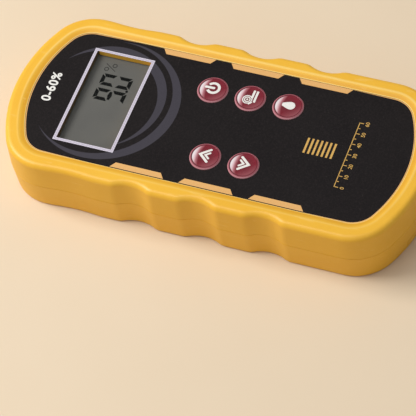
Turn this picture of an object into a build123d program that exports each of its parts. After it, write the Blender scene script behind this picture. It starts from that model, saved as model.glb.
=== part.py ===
"""Hand-held pinless moisture meter: two-part scalloped case, printed face with
five sprung keys, liquid-crystal display, circuit board, sensing plate on the
back of the head and a slide-off battery door.

Units are millimetres.  The meter lies on its back: +Y runs towards the head,
+Z points out of the face, and the origin is the middle of the resting face.
"""

from build123d import *
import os
from math import atan, cos, sin, sqrt

os.makedirs("parts", exist_ok=True)

# ---------------------------------------------------------------- dimensions

# Case outline
case_length = 164.0
case_width = 73.8
case_height = 25.0
parting_height = 12.5
end_radius = 59.0
corner_radius = 18.0
scallop_count = 3
scallop_pitch = 26.0
scallop_first_y = 21.4
scallop_span = 17.0
scallop_depth = 2.0
scallop_shoulder = 6.0
waist_y = 46.8
waist_span = 24.0
waist_depth = 0.6
waist_shoulder = 50.0

# Case shells
front_draft = 1.0
rear_draft = 4.0
rim_round = 2.2
foot_round = 1.0
seam_chamfer = 0.2
front_wall_inset = 2.2
rear_wall_inset = 2.6
floor_thickness = 2.0
overcut = 1.0
lip_inset = 1.3
lip_height = 1.5
lip_gap = 0.1

# Face
face_sheet_inset = 7.85
face_sheet_gap = 0.15
face_sheet_thickness = 0.3
face_floor = 23.9
face_plate_underside = 21.9
rim_step_height = 24.4
rim_crest_inset = 5.2

# Display
display_to_head = 36.2
frame_width = 45.0
frame_height = 24.4
frame_bar = 1.15
frame_thickness = 0.1
window_thickness = 0.2
window_gap = 0.1
gasket_thickness = 0.4
gasket_setback = 0.5
gasket_width = 1.5
glass_width = 49.0
glass_height = 28.0
glass_upper_height = 25.6
glass_thickness = 2.4
holder_width = 53.0
holder_height = 32.0
holder_top = 20.9
holder_corner = 1.5
reflector_width = 46.6
reflector_height = 21.2
reflector_thickness = 0.5
strip_width = 46.6
strip_depth = 2.0
strip_offset = 12.6
holder_gap = 0.2

# Keys and switches
key_column_x = 15.0
key_pitch = 15.0
right_key_top_y = 7.5
left_key_top_y = -0.5
key_radius = 5.93
key_hole_radius = 6.1
key_flange_radius = 7.0
key_flange_thickness = 0.7
key_flange_gap = 0.1
key_edge_height = 24.35
key_edge_bevel = 0.35
key_groove_outer = 5.3
key_groove_inner = 5.0
key_groove_depth = 0.12
key_crown_height = 24.9
plunger_radius = 1.7
plunger_depth = 1.8
plunger_gap = 0.05
switch_side = 6.2
switch_height = 3.5
switch_leg_reach = 0.9
switch_well_floor = 18.6
switch_leg_width = 0.7
switch_leg_height = 0.3
switch_leg_inset = 0.5
plunger_chamfer = 0.3

# Circuit board
board_top = 16.8
board_thickness = 1.6
board_half_width = 30.0
board_head_y = 63.6
board_tail_y = -34.0
board_corner = 6.0
board_screw_spots = ((27.6, 25.5), (-27.6, 25.5), (27.6, -30.0), (-27.6, -30.0))
board_screw_shank = 0.98
board_screw_head = 1.9
board_screw_head_height = 1.4
board_screw_end = 20.8
board_boss_radius = 2.3

# Components under the board
chip_edge = 0.3
coil_spot = (-17.0, 42.0)
coil_flange_radius = 5.0
coil_core_radius = 3.0
coil_wire_radius = 4.6
coil_flange = 1.0
coil_height = 7.0
buzzer_spot = (-18.0, 10.0)
buzzer_radius = 6.0
buzzer_height = 7.5
buzzer_hole_radius = 1.0
buzzer_hole_depth = 0.5
capacitor_spot = (19.0, 18.0)
capacitor_radius = 3.15
capacitor_height = 7.7
small_chip_length = 2.0
small_chip_width = 1.25
resistor_height = 0.55
resistor_field = (-2.0, 14.0)
resistor_columns = 4
resistor_rows = 3
resistor_pitch = (4.0, 3.0)
ceramic_height = 1.0
ceramic_field = (0.0, 26.0)
ceramic_columns = 5
ceramic_rows = 2
ceramic_pitch = (4.5, 3.2)

# Case screws
case_screw_spots = ((24.5, 68.0), (-24.5, 68.0), (28.4, -59.0), (-28.4, -59.0))
case_screw_shank = 1.45
case_screw_head = 2.8
case_screw_head_height = 2.0
case_screw_seat = 3.2
case_screw_end = 19.5
case_boss_radius = 3.4
cross_slot_length = 3.2
cross_slot_width = 0.8
cross_slot_depth = 1.0
screw_clearance = 0.15
thread_clearance = 0.02

# Battery bay: four slim cells side by side, ends reversed in turn
cell_count = 4
cell_pitch = 10.8
cell_radius = 5.25
cell_length = 44.5
cell_nub_radius = 1.9
cell_nub_length = 0.8
cell_edge = 0.4
cell_axis_height = 7.95
bay_head_y = -23.9
bay_tail_y = -74.2
bay_half_width = 22.2
bay_wall = 1.4
bay_side_wall = 1.6
bay_roof_underside = 13.4
bay_roof_top = 14.6
bay_rib_width = 1.0
bay_rib_stop = 2.0
tab_slot_gap = 0.2
contact_sheet = 0.4
contact_height = 8.0
contact_width = 8.0
contact_tab_width = 3.0
leaf_width = 5.0
leaf_sheet = 0.35
leaf_reach = 3.4

# Battery door
door_half_width = 21.9
door_opening_half = 22.1
door_thickness = 1.8
door_head_y = -24.5
door_opening_y = -24.3
tongue_reach = 1.6
tongue_bottom = 1.0
groove_half = 23.7
groove_bottom = 0.85
rail_half = 25.2
rail_top = 3.2
door_lip_half = 18.0
door_lip_top = 3.8
door_lip_gap = 0.2
foam_width = 35.0
foam_length = 12.0
foam_thickness = 0.8
foam_y = -49.0
grip_y = -33.0
grip_count = 4
grip_pitch = 3.0
grip_depth = 0.5
grip_length = 20.0
grip_width = 1.4

# Sensor
sensor_y = 44.0
sensor_width = 44.0
sensor_length = 38.0
sensor_corner = 5.0
sensor_gap = 0.15
sensor_pad_thickness = 1.3
electrode_margin = 2.0
electrode_thickness = 0.4
sensor_seat_border = 2.0
sensor_seat_top = 3.4
contact_pin_radius = 1.0
contact_collar_radius = 2.0
contact_sleeve_radius = 1.6
contact_collar_height = 1.5
contact_tip_length = 2.5

# ------------------------------------------------------------- derived sizes

half_width = case_width / 2
half_length = case_length / 2
display_y = half_length - display_to_head
corner_x = half_width - corner_radius
end_centre_y = half_length - end_radius
corner_y = end_centre_y + sqrt((end_radius - corner_radius) ** 2 - corner_x**2)
corner_sweep = atan((corner_y - end_centre_y) / corner_x)
board_bottom = board_top - board_thickness
glass_top = face_plate_underside - gasket_thickness
glass_bottom = glass_top - glass_thickness
window_width = frame_width - 2 * frame_bar
window_height = frame_height - 2 * frame_bar
gasket_opening_width = window_width + 2 * gasket_setback
gasket_opening_height = window_height + 2 * gasket_setback
cell_tail_y = (bay_head_y + bay_tail_y - cell_length) / 2
cell_head_y = cell_tail_y + cell_length
cell_xs = [(n - (cell_count - 1) / 2) * cell_pitch for n in range(cell_count)]
BASE = (Align.CENTER, Align.CENTER, Align.MIN)
HANG = (Align.CENTER, Align.CENTER, Align.MAX)

keys = [
    ("power", key_column_x, right_key_top_y),
    ("species", key_column_x, right_key_top_y - key_pitch),
    ("hold", key_column_x, right_key_top_y - 2 * key_pitch),
    ("up", -key_column_x, left_key_top_y),
    ("down", -key_column_x, left_key_top_y - key_pitch),
]


# ------------------------------------------------------------------- helpers


def save(builder, name):
    """Label a finished piece and write it as its own file."""
    builder.part.label = name
    export_step(builder.part, f"parts/{name}.step")


def side_hollow(middle_y, span, depth, shoulder, inset):
    """Three tangent arcs, from tail to head, that carry the side in and out."""
    half_span = span / 2
    turn = 2 * atan(depth / half_span)
    hollow = half_span / sin(turn) - shoulder

    def on_shoulder(angle, end):
        x = half_width - shoulder + (shoulder - inset) * cos(angle)
        return (x, middle_y + end * (half_span - (shoulder - inset) * sin(angle)))

    bottom = (half_width - depth - inset, middle_y)
    ThreePointArc(on_shoulder(0, -1), on_shoulder(turn / 2, -1), on_shoulder(turn, -1))
    ThreePointArc(on_shoulder(turn, -1), bottom, on_shoulder(turn, 1))
    ThreePointArc(on_shoulder(turn, 1), on_shoulder(turn / 2, 1), on_shoulder(0, 1))


def case_section(inset, hollows):
    """The case outline drawn in by inset; hollows lists the side's dips."""
    corner_r = corner_radius - inset
    end_r = end_radius - inset
    side = half_width - inset

    def on_corner(angle, end):
        return (corner_x + corner_r * cos(angle), end * (corner_y + corner_r * sin(angle)))

    def on_end(x, end):
        return (x, end * (end_centre_y + sqrt(end_r**2 - x**2)))

    with BuildSketch() as section:
        with BuildLine():
            for end in (-1, 1):
                ThreePointArc(on_end(0, end), on_end(corner_x / 2, end), on_corner(corner_sweep, end))
                ThreePointArc(
                    on_corner(corner_sweep, end), on_corner(corner_sweep / 2, end), on_corner(0, end)
                )
            start_y = -corner_y
            for middle_y, span, depth, shoulder in hollows:
                Line((side, start_y), (side, middle_y - span / 2))
                side_hollow(middle_y, span, depth, shoulder, inset)
                start_y = middle_y + span / 2
            Line((side, start_y), (side, corner_y))
            mirror(about=Plane.YZ)
        make_face()
    return section.sketch


finger_hollows = [
    (scallop_first_y - n * scallop_pitch, scallop_span, scallop_depth, scallop_shoulder)
    for n in reversed(range(scallop_count))
]
finger_hollows.append((waist_y, waist_span, waist_depth, waist_shoulder))


def board_outline():
    """Circuit board outline with round corners."""
    with BuildSketch() as outline:
        with Locations((0, (board_head_y + board_tail_y) / 2)):
            RectangleRounded(2 * board_half_width, board_head_y - board_tail_y, board_corner)
    return outline.sketch


def chip(name, x, y, width, length, height, edge=chip_edge):
    """A moulded component that hangs from the underside of the board."""
    with BuildPart() as body:
        with BuildSketch(Plane.XY.offset(board_bottom)):
            with Locations((x, y)):
                Rectangle(width, length)
        extrude(amount=-height)
        chamfer(body.faces().sort_by(Axis.Z)[0].edges(), edge)
    save(body, name)


def turned(name, x, y, profile):
    """A round piece turned from (radius, height) points about an upright axis."""
    with BuildPart() as body:
        with BuildSketch(Plane.XZ.offset(-y)):
            with BuildLine():
                Polyline(
                    (x, profile[0][1]),
                    *[(x + r, z) for r, z in profile if r > 0],
                    (x, profile[-1][1]),
                    close=True,
                )
            make_face()
        revolve(axis=Axis((x, y, 0), (0, 0, 1)))
    save(body, name)


def battery_contact(name, cells, end, tab_x=None):
    """Contact sheet at one end of the bay: a dimple meets each positive end
    and a bent leaf meets each negative end.  cells holds (x, polarity)."""
    wall_y = bay_head_y if end > 0 else bay_tail_y
    cell_y = cell_head_y if end > 0 else cell_tail_y
    sheet_y = wall_y - end * contact_sheet
    middle_x = sum(x for x, polarity in cells) / len(cells)
    sheet_width = contact_width + (len(cells) - 1) * cell_pitch
    facing_cells = Plane(origin=(0, sheet_y, cell_axis_height), x_dir=(1, 0, 0), z_dir=(0, -end, 0))
    with BuildPart() as contact:
        with Locations((middle_x, (wall_y + sheet_y) / 2, cell_axis_height)):
            Box(sheet_width, contact_sheet, contact_height)
        for x, polarity in cells:
            reach = abs(cell_y - sheet_y) - plunger_gap
            if polarity > 0:
                with Locations(facing_cells.location * Location((x, 0, 0))):
                    Cone(cell_nub_radius + reach / 2, cell_nub_radius, reach, align=BASE)
            else:
                tip_y = cell_y + end * plunger_gap
                with BuildSketch(Plane.YZ.offset(x)):
                    with BuildLine():
                        Polyline(
                            (sheet_y, cell_axis_height + leaf_reach),
                            (tip_y, cell_axis_height + leaf_sheet),
                            (tip_y, cell_axis_height - leaf_sheet),
                            (sheet_y, cell_axis_height - leaf_reach),
                            (sheet_y, cell_axis_height - leaf_reach + 2 * leaf_sheet),
                            (tip_y + end * leaf_sheet, cell_axis_height),
                            (sheet_y, cell_axis_height + leaf_reach - 2 * leaf_sheet),
                            close=True,
                        )
                    make_face()
                extrude(amount=leaf_width / 2, both=True)
        if tab_x is not None:
            tab_base = cell_axis_height + contact_height / 2
            with Locations((tab_x, (wall_y + sheet_y) / 2, tab_base)):
                Box(contact_tab_width, contact_sheet, board_bottom - tab_base, align=BASE)
    save(contact, name)


# --------------------------------------------------------------- front shell

with BuildPart() as front_case:
    with BuildSketch(Plane.XY.offset(parting_height)):
        add(case_section(0, finger_hollows))
    extrude(amount=case_height - parting_height, taper=front_draft)
    fillet(front_case.faces().sort_by(Axis.Z)[-1].edges(), rim_round)
    chamfer(front_case.faces().sort_by(Axis.Z)[0].edges(), seam_chamfer)
    # hollow inside, and the rebate that receives the rear shell's lip
    with BuildSketch(Plane.XY.offset(parting_height)):
        add(case_section(front_wall_inset, finger_hollows))
    extrude(amount=face_plate_underside - parting_height, mode=Mode.SUBTRACT)
    with BuildSketch(Plane.XY.offset(parting_height)):
        add(case_section(lip_inset - lip_gap, finger_hollows))
    extrude(amount=lip_height + lip_gap, mode=Mode.SUBTRACT)
    # recess for the face sheet, and the slope from its edge up to the crest
    with BuildSketch(Plane.XY.offset(face_floor)):
        add(case_section(face_sheet_inset - face_sheet_gap, []))
    extrude(amount=case_height - face_floor, mode=Mode.SUBTRACT)
    with BuildSketch(Plane.XY.offset(rim_step_height)):
        add(case_section(face_sheet_inset - face_sheet_gap, []))
    with BuildSketch(Plane.XY.offset(case_height)):
        add(case_section(rim_crest_inset, []))
    loft(ruled=True, mode=Mode.SUBTRACT)
    # display opening and key holes
    with BuildSketch(Plane.XY.offset(face_plate_underside)):
        with Locations((0, display_y)):
            Rectangle(window_width, window_height)
        with Locations([(x, y) for name, x, y in keys]):
            Circle(key_hole_radius)
    extrude(amount=face_floor - face_plate_underside, mode=Mode.SUBTRACT)
    # screw posts
    with BuildSketch(Plane.XY.offset(parting_height)):
        with Locations(*case_screw_spots):
            Circle(case_boss_radius)
    extrude(amount=face_plate_underside - parting_height)
    with BuildSketch(Plane.XY.offset(parting_height)):
        with Locations(*case_screw_spots):
            Circle(case_screw_shank + thread_clearance)
    extrude(amount=case_screw_end - parting_height, mode=Mode.SUBTRACT)
    with BuildSketch(Plane.XY.offset(board_top)):
        with Locations(*board_screw_spots):
            Circle(board_boss_radius)
    extrude(amount=face_plate_underside - board_top)
    with BuildSketch(Plane.XY.offset(board_top)):
        with Locations(*board_screw_spots):
            Circle(board_screw_shank + thread_clearance)
    extrude(amount=board_screw_end - board_top, mode=Mode.SUBTRACT)

save(front_case, "front_case")

# ---------------------------------------------------------------- rear shell

with BuildPart() as rear_outside:
    with BuildSketch(Plane.XY.offset(parting_height)):
        add(case_section(0, finger_hollows))
    extrude(amount=-parting_height, taper=rear_draft)
    fillet(rear_outside.faces().sort_by(Axis.Z)[0].edges(), foot_round)
    chamfer(rear_outside.faces().sort_by(Axis.Z)[-1].edges(), seam_chamfer)

with BuildPart() as rear_lip:
    with BuildSketch(Plane.XY.offset(parting_height)):
        add(case_section(lip_inset, finger_hollows))
        add(case_section(rear_wall_inset, finger_hollows), mode=Mode.SUBTRACT)
    extrude(amount=lip_height)
    with BuildSketch(Plane.XY.offset(parting_height)):
        add(case_section(front_wall_inset, finger_hollows))
        add(case_section(rear_wall_inset, finger_hollows), mode=Mode.SUBTRACT)
    extrude(amount=-lip_height)

bay_middle_y = (bay_head_y + bay_tail_y) / 2
bay_length = bay_head_y - bay_tail_y
tail_wall_y = bay_tail_y - bay_wall
bay_limit = case_section(rear_wall_inset - 2 * lip_gap, finger_hollows)

with BuildPart() as rear_case:
    add(rear_outside.part)
    with BuildSketch(Plane.XY.offset(floor_thickness)):
        add(case_section(rear_wall_inset, finger_hollows))
    extrude(amount=parting_height - floor_thickness, mode=Mode.SUBTRACT)
    # battery bay walls and roof, and the rails that carry the door
    with BuildSketch(Plane.XY.offset(floor_thickness)):
        with Locations((0, bay_middle_y)):
            Rectangle(2 * (bay_half_width + bay_side_wall), bay_length + 2 * bay_wall)
        add(bay_limit, mode=Mode.INTERSECT)
    extrude(amount=bay_roof_top - floor_thickness)
    with BuildSketch(Plane.XY.offset(floor_thickness)):
        with Locations((0, bay_middle_y)):
            Rectangle(2 * rail_half, bay_length + 2 * bay_wall)
            Rectangle(2 * bay_half_width, bay_length + 2 * bay_wall, mode=Mode.SUBTRACT)
        add(bay_limit, mode=Mode.INTERSECT)
    extrude(amount=rail_top - floor_thickness)
    # thick seat over the sensing plate, and the posts round the case screws
    with BuildSketch(Plane.XY.offset(floor_thickness)):
        with Locations((0, sensor_y)):
            RectangleRounded(
                sensor_width + 2 * sensor_seat_border, sensor_length + 2 * sensor_seat_border, sensor_corner
            )
    extrude(amount=sensor_seat_top - floor_thickness)
    with BuildSketch(Plane.XY.offset(floor_thickness)):
        with Locations(*case_screw_spots):
            Circle(case_boss_radius)
    extrude(amount=parting_height - floor_thickness)
    # the bay itself
    with Locations((0, bay_middle_y, -overcut)):
        Box(
            2 * bay_half_width,
            bay_length,
            bay_roof_underside + overcut,
            align=BASE,
            mode=Mode.SUBTRACT,
        )
    # ribs between the cells
    rib_height = bay_roof_underside - cell_axis_height - cell_radius / 2
    with Locations([(x + cell_pitch / 2, bay_middle_y, bay_roof_underside) for x in cell_xs[:-1]]):
        Box(bay_rib_width, cell_length - 2 * bay_rib_stop, rib_height, align=HANG)
    # opening for the door, its side grooves, and room for its end lip
    slot_length = half_length + door_opening_y
    slot_middle_y = door_opening_y - slot_length / 2
    with Locations((0, slot_middle_y, -overcut)):
        Box(
            2 * door_opening_half,
            slot_length,
            overcut + floor_thickness,
            align=BASE,
            mode=Mode.SUBTRACT,
        )
    with Locations((0, slot_middle_y, groove_bottom)):
        Box(
            2 * groove_half, slot_length, floor_thickness - groove_bottom, align=BASE, mode=Mode.SUBTRACT
        )
    with Locations((0, (tail_wall_y - half_length) / 2, -overcut)):
        Box(
            2 * (door_lip_half + door_lip_gap),
            half_length + tail_wall_y,
            overcut + door_lip_top + door_lip_gap,
            align=BASE,
            mode=Mode.SUBTRACT,
        )
    with Locations((0, tail_wall_y + bay_wall / 2, -overcut)):
        Box(
            2 * bay_half_width,
            bay_wall,
            overcut + door_thickness + foam_thickness + lip_gap,
            align=BASE,
            mode=Mode.SUBTRACT,
        )
    # slots in the bay roof for the contact tabs
    tab_y = bay_head_y - contact_sheet / 2
    with Locations([(x, tab_y, bay_roof_underside) for x in (cell_xs[0], cell_xs[-1])]):
        Box(
            contact_tab_width + 2 * tab_slot_gap,
            contact_sheet + 2 * tab_slot_gap,
            bay_roof_top - bay_roof_underside,
            align=BASE,
            mode=Mode.SUBTRACT,
        )
    # pocket for the sensing plate and the hole for its contact pin
    with BuildSketch(Plane.XY):
        with Locations((0, sensor_y)):
            RectangleRounded(sensor_width + 2 * sensor_gap, sensor_length + 2 * sensor_gap, sensor_corner)
    extrude(amount=sensor_pad_thickness + electrode_thickness, mode=Mode.SUBTRACT)
    with Locations((0, sensor_y, 0)):
        Cylinder(
            contact_pin_radius + screw_clearance, sensor_seat_top, align=BASE, mode=Mode.SUBTRACT
        )
    # counterbored screw holes, entered from the back
    for x, y in case_screw_spots:
        with Locations(Plane(origin=(x, y, 0), z_dir=(0, 0, -1))):
            CounterBoreHole(
                radius=case_screw_shank + screw_clearance,
                counter_bore_radius=case_screw_head + screw_clearance,
                counter_bore_depth=case_screw_seat,
                depth=parting_height,
            )
    add(rear_lip.part)

save(rear_case, "rear_case")

# -------------------------------------------------------------- battery door

door_length = half_length + door_head_y
door_middle_y = door_head_y - door_length / 2

with BuildPart() as door_lip:
    add(rear_outside.part)
    with Locations((0, tail_wall_y - half_length / 2, tongue_bottom)):
        Box(
            2 * door_lip_half,
            half_length,
            door_lip_top - tongue_bottom,
            align=BASE,
            mode=Mode.INTERSECT,
        )
    with BuildSketch(Plane.XY):
        add(case_section(rear_wall_inset, finger_hollows))
    extrude(amount=parting_height, mode=Mode.SUBTRACT)

with BuildPart() as door_plate:
    with Locations((0, door_middle_y, 0)):
        Box(2 * door_half_width, door_length, door_thickness, align=BASE)
    with Locations((0, door_middle_y, tongue_bottom)):
        Box(
            2 * (door_half_width + tongue_reach),
            door_length,
            door_thickness - tongue_bottom,
            align=BASE,
        )

with BuildPart() as battery_door:
    add(rear_outside.part)
    add(door_plate.part, mode=Mode.INTERSECT)
    add(door_lip.part)
    # finger ridges near the head end of the door
    with BuildSketch(Plane.XY):
        with Locations((0, grip_y)):
            with GridLocations(0, grip_pitch, 1, grip_count):
                SlotOverall(grip_length, grip_width)
    extrude(amount=grip_depth, mode=Mode.SUBTRACT)

save(battery_door, "battery_door")

with BuildPart() as battery_foam:
    with Locations((0, foam_y, door_thickness)):
        Box(foam_width, foam_length, foam_thickness, align=BASE)

save(battery_foam, "battery_foam")

# --------------------------------------------------------- face and display

with BuildPart() as face_sheet:
    with BuildSketch(Plane.XY.offset(face_floor)):
        add(case_section(face_sheet_inset, []))
        with Locations((0, display_y)):
            Rectangle(frame_width + window_gap, frame_height + window_gap, mode=Mode.SUBTRACT)
        with Locations([(x, y) for name, x, y in keys]):
            Circle(key_hole_radius, mode=Mode.SUBTRACT)
    extrude(amount=face_sheet_thickness)

save(face_sheet, "face_sheet")

with BuildPart() as display_window:
    with Locations((0, display_y, face_floor)):
        Box(frame_width, frame_height, window_thickness, align=BASE)

save(display_window, "display_window")

with BuildPart() as display_frame:
    with BuildSketch(Plane.XY.offset(face_floor + window_thickness)):
        with Locations((0, display_y)):
            Rectangle(frame_width, frame_height)
            Rectangle(window_width, window_height, mode=Mode.SUBTRACT)
    extrude(amount=frame_thickness)

save(display_frame, "display_frame")

with BuildPart() as display_gasket:
    with BuildSketch(Plane.XY.offset(glass_top)):
        with Locations((0, display_y)):
            Rectangle(gasket_opening_width + 2 * gasket_width, gasket_opening_height + 2 * gasket_width)
            Rectangle(gasket_opening_width, gasket_opening_height, mode=Mode.SUBTRACT)
    extrude(amount=gasket_thickness)

save(display_gasket, "display_gasket")

with BuildPart() as display_glass:
    with Locations((0, display_y, glass_bottom)):
        Box(glass_width, glass_height, glass_thickness / 2, align=BASE)
    with Locations((0, display_y, glass_bottom + glass_thickness / 2)):
        Box(glass_width, glass_upper_height, glass_thickness / 2, align=BASE)

save(display_glass, "display_glass")

with BuildPart() as display_reflector:
    with Locations((0, display_y, glass_bottom)):
        Box(reflector_width, reflector_height, reflector_thickness, align=HANG)

save(display_reflector, "display_reflector")

with BuildPart() as display_holder:
    with BuildSketch(Plane.XY.offset(board_top)):
        with Locations((0, display_y)):
            RectangleRounded(holder_width, holder_height, holder_corner)
    extrude(amount=holder_top - board_top)
    with BuildSketch(Plane.XY.offset(board_top)):
        with Locations((0, display_y)):
            Rectangle(reflector_width + 2 * holder_gap, reflector_height + 2 * holder_gap)
            with GridLocations(0, 2 * strip_offset, 1, 2):
                Rectangle(strip_width + 2 * holder_gap, strip_depth + 2 * holder_gap)
    extrude(amount=holder_top - board_top, mode=Mode.SUBTRACT)
    with BuildSketch(Plane.XY.offset(glass_bottom)):
        with Locations((0, display_y)):
            Rectangle(glass_width + 2 * holder_gap, glass_height + 2 * holder_gap)
    extrude(amount=holder_top - glass_bottom, mode=Mode.SUBTRACT)

save(display_holder, "display_holder")

for name, end in (("contact_strip_upper", 1), ("contact_strip_lower", -1)):
    with BuildPart() as contact_strip:
        with Locations((0, display_y + end * strip_offset, board_top)):
            Box(strip_width, strip_depth, glass_bottom - board_top, align=BASE)
    save(contact_strip, name)

# --------------------------------------------------------- keys and switches

leg_pitch = switch_side - switch_leg_width - 2 * switch_leg_inset
flange_top = face_plate_underside - key_flange_gap
flange_bottom = flange_top - key_flange_thickness
bevel_top = key_edge_height + key_edge_bevel
groove_floor = bevel_top - key_groove_depth
crown_rise = key_crown_height - bevel_top
crown_radius = (key_groove_inner**2 + crown_rise**2) / (2 * crown_rise)

for name, x, y in keys:
    with BuildPart() as key_crown:
        with Locations((x, y, key_crown_height - crown_radius)):
            Sphere(crown_radius)
        with Locations((x, y, groove_floor)):
            Cylinder(key_groove_inner, crown_radius, align=BASE, mode=Mode.INTERSECT)

    with BuildPart() as key_cap:
        with Locations((x, y, flange_bottom)):
            Cylinder(key_flange_radius, key_flange_thickness, align=BASE)
            Cylinder(key_radius, bevel_top - flange_bottom, align=BASE)
        chamfer(key_cap.faces().sort_by(Axis.Z)[-1].edges(), key_edge_bevel)
        with Locations((x, y, groove_floor)):
            Cylinder(key_groove_outer, key_groove_depth, align=BASE, mode=Mode.SUBTRACT)
        add(key_crown.part)
    save(key_cap, f"{name}_key")

    with BuildPart() as plunger:
        with Locations((x, y, flange_bottom)):
            Cylinder(plunger_radius, plunger_depth, align=HANG)
        chamfer(plunger.faces().sort_by(Axis.Z)[0].edges(), plunger_chamfer)
    save(plunger, f"{name}_plunger")

    with BuildPart() as switch_body:
        with Locations((x, y, board_top)):
            Box(switch_side, switch_side, switch_height, align=BASE)
        with Locations((x, y, switch_well_floor)):
            Cylinder(plunger_radius + plunger_gap, switch_height, align=BASE, mode=Mode.SUBTRACT)
        with Locations((x, y, board_top)):
            with GridLocations(switch_side + switch_leg_reach, leg_pitch, 2, 2):
                Box(switch_leg_reach, switch_leg_width, switch_leg_height, align=BASE)
    save(switch_body, f"{name}_switch")

# -------------------------------------------------------------- circuit board

with BuildPart() as main_board:
    with BuildSketch(Plane.XY.offset(board_bottom)):
        add(board_outline())
        with Locations(*board_screw_spots):
            Circle(board_screw_shank + screw_clearance, mode=Mode.SUBTRACT)
    extrude(amount=board_thickness)

save(main_board, "main_board")

chip("microcontroller", x=0, y=-2, width=12, length=12, height=1.4)
chip("crystal", x=14, y=0, width=11, length=4.6, height=3.6, edge=1.2)
chip("voltage_regulator", x=12, y=-12, width=4.5, length=2.5, height=1.5)
chip("trimmer", x=17, y=42, width=6, length=6, height=4)

coil_foot = board_bottom - coil_height
turned(
    "sensor_coil",
    *coil_spot,
    [
        (coil_flange_radius, coil_foot),
        (coil_flange_radius, coil_foot + coil_flange),
        (coil_core_radius, coil_foot + coil_flange),
        (coil_core_radius, board_bottom - coil_flange),
        (coil_flange_radius, board_bottom - coil_flange),
        (coil_flange_radius, board_bottom),
    ],
)

with BuildPart() as coil_winding:
    with BuildSketch(Plane.XY.offset(coil_foot + coil_flange)):
        with Locations(coil_spot):
            Circle(coil_wire_radius)
            Circle(coil_core_radius, mode=Mode.SUBTRACT)
    extrude(amount=coil_height - 2 * coil_flange)

save(coil_winding, "coil_winding")

buzzer_foot = board_bottom - buzzer_height
turned(
    "buzzer",
    *buzzer_spot,
    [
        (0, buzzer_foot + buzzer_hole_depth),
        (buzzer_hole_radius, buzzer_foot + buzzer_hole_depth),
        (buzzer_hole_radius, buzzer_foot),
        (buzzer_radius, buzzer_foot),
        (buzzer_radius, board_bottom),
    ],
)
turned(
    "filter_capacitor",
    *capacitor_spot,
    [(capacitor_radius, board_bottom - capacitor_height), (capacitor_radius, board_bottom)],
)

with BuildPart() as chip_resistors:
    with Locations((*resistor_field, board_bottom)):
        with GridLocations(*resistor_pitch, resistor_columns, resistor_rows):
            Box(small_chip_length, small_chip_width, resistor_height, align=HANG)

save(chip_resistors, "chip_resistors")

with BuildPart() as chip_capacitors:
    with Locations((*ceramic_field, board_bottom)):
        with GridLocations(*ceramic_pitch, ceramic_columns, ceramic_rows):
            Box(small_chip_length, small_chip_width, ceramic_height, align=HANG)

save(chip_capacitors, "chip_capacitors")

# -------------------------------------------------------------------- sensor

with BuildPart() as sensor_plate:
    with BuildSketch(Plane.XY):
        with Locations((0, sensor_y)):
            RectangleRounded(sensor_width, sensor_length, sensor_corner)
    extrude(amount=sensor_pad_thickness)

save(sensor_plate, "sensor_plate")

with BuildPart() as sensor_electrode:
    with BuildSketch(Plane.XY.offset(sensor_pad_thickness)):
        with Locations((0, sensor_y)):
            RectangleRounded(
                sensor_width - 2 * electrode_margin,
                sensor_length - 2 * electrode_margin,
                sensor_corner - electrode_margin,
            )
    extrude(amount=electrode_thickness)

save(sensor_electrode, "sensor_electrode")

pin_foot = sensor_pad_thickness + electrode_thickness
turned(
    "contact_pin",
    0,
    sensor_y,
    [
        (contact_pin_radius, pin_foot),
        (contact_pin_radius, sensor_seat_top),
        (contact_collar_radius, sensor_seat_top),
        (contact_collar_radius, sensor_seat_top + contact_collar_height),
        (contact_sleeve_radius, sensor_seat_top + contact_collar_height),
        (contact_sleeve_radius, board_bottom - contact_tip_length),
        (contact_pin_radius, board_bottom - contact_tip_length),
        (contact_pin_radius, board_bottom),
    ],
)

# --------------------------------------------------------- cells and contacts

for n, x in enumerate(cell_xs):
    nub_end = 1 if n % 2 == 0 else -1
    start_y = cell_tail_y if nub_end > 0 else cell_head_y
    along = Plane(origin=(x, start_y, cell_axis_height), x_dir=(1, 0, 0), z_dir=(0, nub_end, 0))
    with BuildPart() as cell:
        with BuildSketch(along):
            Circle(cell_radius)
        extrude(amount=cell_length - cell_nub_length)
        chamfer(cell.edges().filter_by(GeomType.CIRCLE), cell_edge)
        with BuildSketch(along.offset(cell_length - cell_nub_length)):
            Circle(cell_nub_radius)
        extrude(amount=cell_nub_length)
    save(cell, f"battery_cell_{n + 1}")

battery_contact("battery_contact_positive", [(cell_xs[0], 1)], 1, tab_x=cell_xs[0])
battery_contact("battery_contact_negative", [(cell_xs[3], -1)], 1, tab_x=cell_xs[3])
battery_contact("battery_bridge_head", [(cell_xs[1], -1), (cell_xs[2], 1)], 1)
battery_contact("battery_bridge_tail_left", [(cell_xs[0], -1), (cell_xs[1], 1)], -1)
battery_contact("battery_bridge_tail_right", [(cell_xs[2], -1), (cell_xs[3], 1)], -1)

# -------------------------------------------------------------------- screws


def screws(name, spots, head_radius, head_height, seat, shank_radius, end):
    """Round-headed screws, driven upwards, with crossed slots in their heads."""
    with BuildPart() as group:
        with BuildSketch(Plane.XY.offset(seat - head_height)):
            with Locations(*spots):
                Circle(head_radius)
        extrude(amount=head_height)
        with BuildSketch(Plane.XY.offset(seat)):
            with Locations(*spots):
                Circle(shank_radius)
        extrude(amount=end - seat)
        slot = cross_slot_length * head_radius / case_screw_head
        with Locations([(x, y, seat - head_height) for x, y in spots]):
            Box(slot, cross_slot_width, cross_slot_depth, align=BASE, mode=Mode.SUBTRACT)
            Box(cross_slot_width, slot, cross_slot_depth, align=BASE, mode=Mode.SUBTRACT)
    save(group, name)


screws(
    "case_screws",
    case_screw_spots,
    case_screw_head,
    case_screw_head_height,
    case_screw_seat,
    case_screw_shank,
    case_screw_end,
)
screws(
    "board_screws",
    board_screw_spots,
    board_screw_head,
    board_screw_head_height,
    board_bottom,
    board_screw_shank,
    board_screw_end,
)
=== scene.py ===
import math

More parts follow.
